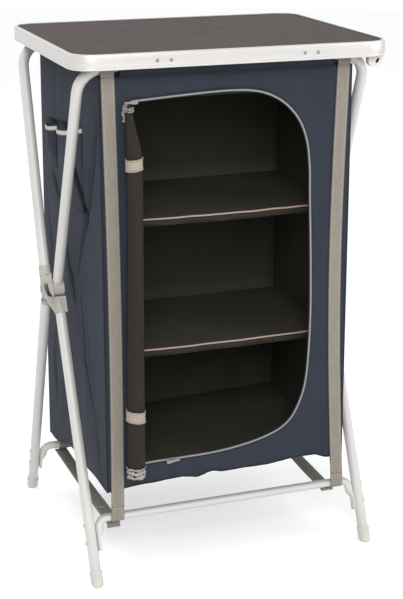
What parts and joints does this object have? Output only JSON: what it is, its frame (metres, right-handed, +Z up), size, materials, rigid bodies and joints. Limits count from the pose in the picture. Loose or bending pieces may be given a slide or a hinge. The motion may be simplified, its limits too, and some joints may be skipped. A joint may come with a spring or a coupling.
{
  "type": "folding camping cupboard",
  "caption": "Free-standing folding cupboard: fabric cabinet with shelves and a rolled-up zip door, hung between crossing tube frames under a rimmed worktop.",
  "frame": {"origin": "on the ground, midway between the feet", "axes": "+Z up, -Y towards the door side, +X to the right seen from the door side"},
  "size_m": [0.6192, 0.496, 0.99],
  "materials": {
    "laminate": "satin dark laminate on board",
    "aluminium": "satin",
    "white_steel": "white powder coat",
    "white_plastic": "moulded, slightly warm white",
    "rivet_steel": "satin",
    "webbing": "woven polyester webbing",
    "dark_webbing": "woven webbing",
    "cabinet_cloth": "slate-blue woven polyester",
    "inner_cloth": "near-black lining",
    "door_cloth": "very dark woven cloth",
    "zip_tape": "light grey tape and coil",
    "tie_cloth": "beige tape",
    "zip_metal": "plated"
  },
  "bodies": {
    "rear_frame": {"rear_upper_frame": "white_steel", "front_leg_left": "white_steel", "front_leg_right": "white_steel", "front_lower_bar": "white_steel", "front_leg_rivet_left_1": "rivet_steel", "front_leg_rivet_left_2": "rivet_steel", "front_leg_rivet_right_1": "rivet_steel", "front_leg_rivet_right_2": "rivet_steel", "front_foot_left": "white_plastic", "front_foot_right": "white_plastic", "outer_hinge_left": "white_plastic", "outer_hinge_right": "white_plastic", "hinge_pin_left": "rivet_steel", "hinge_pin_right": "rivet_steel"},
    "front_frame": {"front_upper_frame": "white_steel", "rear_leg_left": "white_steel", "rear_leg_right": "white_steel", "rear_lower_bar": "white_steel", "rear_leg_rivet_left_1": "rivet_steel", "rear_leg_rivet_left_2": "rivet_steel", "rear_leg_rivet_right_1": "rivet_steel", "rear_leg_rivet_right_2": "rivet_steel", "rear_foot_left": "white_plastic", "rear_foot_right": "white_plastic", "inner_hinge_left": "white_plastic", "inner_hinge_right": "white_plastic"},
    "top": {"top_rim": "aluminium", "top_board": "laminate", "front_rest_left": "white_plastic", "front_rest_right": "white_plastic", "rear_saddle_left": "white_plastic", "rear_saddle_right": "white_plastic", "corner_clip": "white_plastic", "rim_rivet_1": "rivet_steel", "rim_rivet_2": "rivet_steel", "rim_rivet_3": "rivet_steel", "rim_rivet_4": "rivet_steel"},
    "cabinet_core": {"side_panel_left": "cabinet_cloth", "side_panel_right": "cabinet_cloth", "bottom_strap_left": "dark_webbing", "bottom_strap_right": "dark_webbing", "cabinet_top": "inner_cloth", "cabinet_floor": "inner_cloth", "pocket_front": "cabinet_cloth", "pocket_rear": "cabinet_cloth"},
    "front_panel": {"front_panel": "cabinet_cloth", "zip_track": "zip_tape", "door_roll": "door_cloth", "tie_upper": "tie_cloth", "tie_lower": "tie_cloth", "front_strap_left": "webbing", "front_strap_right": "webbing"},
    "back_panel": {"back_panel": "cabinet_cloth", "rear_strap_left": "webbing", "rear_strap_right": "webbing"},
    "shelf_lower": {"shelf_lower": "inner_cloth"},
    "shelf_upper": {"shelf_upper": "inner_cloth"},
    "zip_slider_upper": {"zip_slider_upper": "zip_metal"},
    "zip_slider_lower": {"zip_slider_lower": "zip_metal"}
  },
  "joints": [
    {"name": "frame_fold", "type": "hinge", "parent": "rear_frame", "child": "front_frame", "pos_m": [0, 0, 0.517], "axis": [-1, 0, 0], "range_deg": [0, 30]},
    {"name": "cabinet_turn", "type": "hinge", "parent": "rear_frame", "child": "cabinet_core", "pos_m": [0, 0, 0.517], "axis": [-1, 0, 0], "range_deg": [0, 15.1], "deforming": ["side_panel_left", "side_panel_right", "bottom_strap_left", "bottom_strap_right", "cabinet_top", "cabinet_floor", "pocket_front", "pocket_rear"]},
    {"name": "front_panel_in", "type": "slide", "parent": "cabinet_core", "child": "front_panel", "axis": [0, 1, 0], "range_m": [0, 0.1165], "deforming": ["front_strap_left", "front_strap_right"]},
    {"name": "back_panel_in", "type": "slide", "parent": "cabinet_core", "child": "back_panel", "axis": [0, -1, 0], "range_m": [0, 0.1165], "deforming": ["rear_strap_left", "rear_strap_right"]},
    {"name": "upper_shelf_tilt", "type": "hinge", "parent": "cabinet_core", "child": "shelf_upper", "pos_m": [0, 0, 0.6735], "axis": [-1, 0, 0], "range_deg": [0, 78.5]},
    {"name": "lower_shelf_tilt", "type": "hinge", "parent": "cabinet_core", "child": "shelf_lower", "pos_m": [0, 0, 0.4215], "axis": [-1, 0, 0], "range_deg": [0, 78.5]},
    {"name": "top_lift", "type": "slide", "parent": "rear_frame", "child": "top", "axis": [0, 0, 1], "range_m": [0, 0.0945]},
    {"name": "upper_zip_run", "type": "slide", "parent": "front_panel", "child": "zip_slider_upper", "axis": [0.9986, 0.0007, 0.0523], "range_m": [0, 0.204]},
    {"name": "lower_zip_run", "type": "slide", "parent": "front_panel", "child": "zip_slider_lower", "axis": [0.9935, 0.0015, 0.1134], "range_m": [0, 0.196]}
  ],
  "couplings": [
    {"joint": "cabinet_turn", "follows": "frame_fold", "ratio": 0.5},
    {"joint": "front_panel_in", "follows": "frame_fold", "m_per_rad": 0.2216},
    {"joint": "back_panel_in", "follows": "frame_fold", "m_per_rad": 0.2216},
    {"joint": "upper_shelf_tilt", "follows": "frame_fold", "ratio": 2.6},
    {"joint": "lower_shelf_tilt", "follows": "frame_fold", "ratio": 2.6},
    {"joint": "top_lift", "follows": "frame_fold", "m_per_rad": 0.18}
  ]
}
